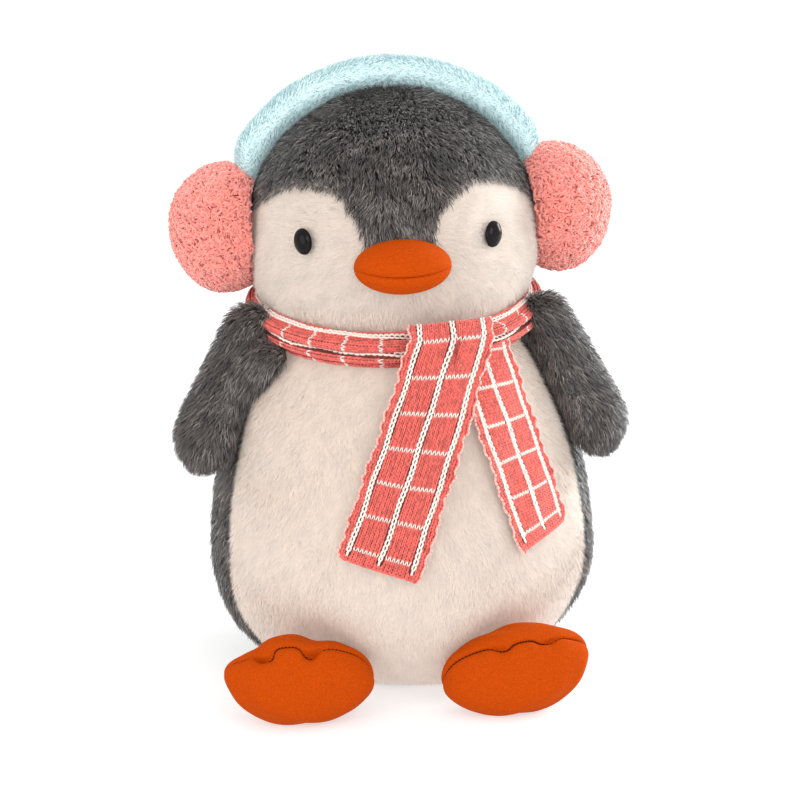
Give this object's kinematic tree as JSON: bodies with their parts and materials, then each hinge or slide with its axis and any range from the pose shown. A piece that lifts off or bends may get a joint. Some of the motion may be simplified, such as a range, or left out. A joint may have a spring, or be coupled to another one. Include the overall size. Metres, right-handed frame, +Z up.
{
  "type": "plush penguin",
  "caption": "Stuffed plush penguin with ear muffs and a knitted scarf; head, wings, feet and scarf tails move.",
  "frame": {"origin": "middle of the flat base panel, on the surface that the toy stands on", "axes": "+Z up through the head, -Y the way the toy faces, +X to the toy's own left"},
  "size_m": [0.22, 0.2028, 0.303],
  "materials": {
    "white_plush": "matte",
    "grey_plush": "matte",
    "blue_plush": "matte",
    "coral_boucle": "matte",
    "coral_knit": "matte",
    "orange_felt": "matte",
    "polyester_filling": "matte",
    "black_plastic": "gloss",
    "white_plastic": "matte"
  },
  "bodies": {
    "torso": {"belly_panel": "white_plush", "back_panel_left": "grey_plush", "back_panel_right": "grey_plush", "base_panel": "white_plush", "body_stuffing": "polyester_filling", "scarf_wrap": "coral_knit"},
    "head": {"face_panel": "white_plush", "crown_panel": "grey_plush", "head_back_panel_left": "grey_plush", "head_back_panel_right": "grey_plush", "head_stuffing": "polyester_filling", "beak_upper": "orange_felt", "beak_lower": "orange_felt", "beak_stuffing": "polyester_filling", "eye_left": "black_plastic", "eye_right": "black_plastic", "eye_washer_left": "white_plastic", "eye_washer_right": "white_plastic"},
    "ear_muffs": {"headband_cover": "blue_plush", "headband_stuffing": "polyester_filling", "earmuff_cover_left": "coral_boucle", "earmuff_cover_right": "coral_boucle", "earmuff_stuffing_left": "polyester_filling", "earmuff_stuffing_right": "polyester_filling"},
    "scarf_front": {"scarf_front_tail": "coral_knit"},
    "scarf_rear": {"scarf_rear_tail": "coral_knit"},
    "wing_left": {"wing_outer_left": "grey_plush", "wing_inner_left": "grey_plush", "wing_stuffing_left": "polyester_filling"},
    "foot_left": {"foot_sole_left": "orange_felt", "foot_top_left": "orange_felt", "foot_stuffing_left": "polyester_filling"},
    "wing_right": {"wing_outer_right": "grey_plush", "wing_inner_right": "grey_plush", "wing_stuffing_right": "polyester_filling"},
    "foot_right": {"foot_sole_right": "orange_felt", "foot_top_right": "orange_felt", "foot_stuffing_right": "polyester_filling"}
  },
  "joints": [
    {"name": "head_turn", "type": "hinge", "parent": "torso", "child": "head", "pos_m": [0, 0, 0.18], "axis": [0, 0, 1], "range_deg": [-25, 25]},
    {"name": "ear_muffs_lift", "type": "slide", "parent": "head", "child": "ear_muffs", "axis": [0, 0, 1], "range_m": [0, 0.15]},
    {"name": "wing_left_lift", "type": "hinge", "parent": "torso", "child": "wing_left", "pos_m": [0.062, -0.022, 0.186], "axis": [0, -1, 0], "range_deg": [0, 33]},
    {"name": "wing_right_lift", "type": "hinge", "parent": "torso", "child": "wing_right", "pos_m": [-0.062, -0.022, 0.186], "axis": [0, 1, 0], "range_deg": [0, 33]},
    {"name": "foot_left_fold", "type": "hinge", "parent": "torso", "child": "foot_left", "pos_m": [0.0491, -0.095, 0.014], "axis": [1, 0, 0], "range_deg": [0, 35]},
    {"name": "foot_right_fold", "type": "hinge", "parent": "torso", "child": "foot_right", "pos_m": [-0.0569, -0.095, 0.014], "axis": [1, 0, 0], "range_deg": [0, 35]},
    {"name": "scarf_front_lift", "type": "hinge", "parent": "torso", "child": "scarf_front", "pos_m": [0.022, -0.0735, 0.182], "axis": [-1, 0, 0], "range_deg": [0, 55]},
    {"name": "scarf_rear_lift", "type": "hinge", "parent": "torso", "child": "scarf_rear", "pos_m": [0.035, -0.0675, 0.171], "axis": [-0.8944, -0.4472, 0], "range_deg": [0, 50]}
  ]
}
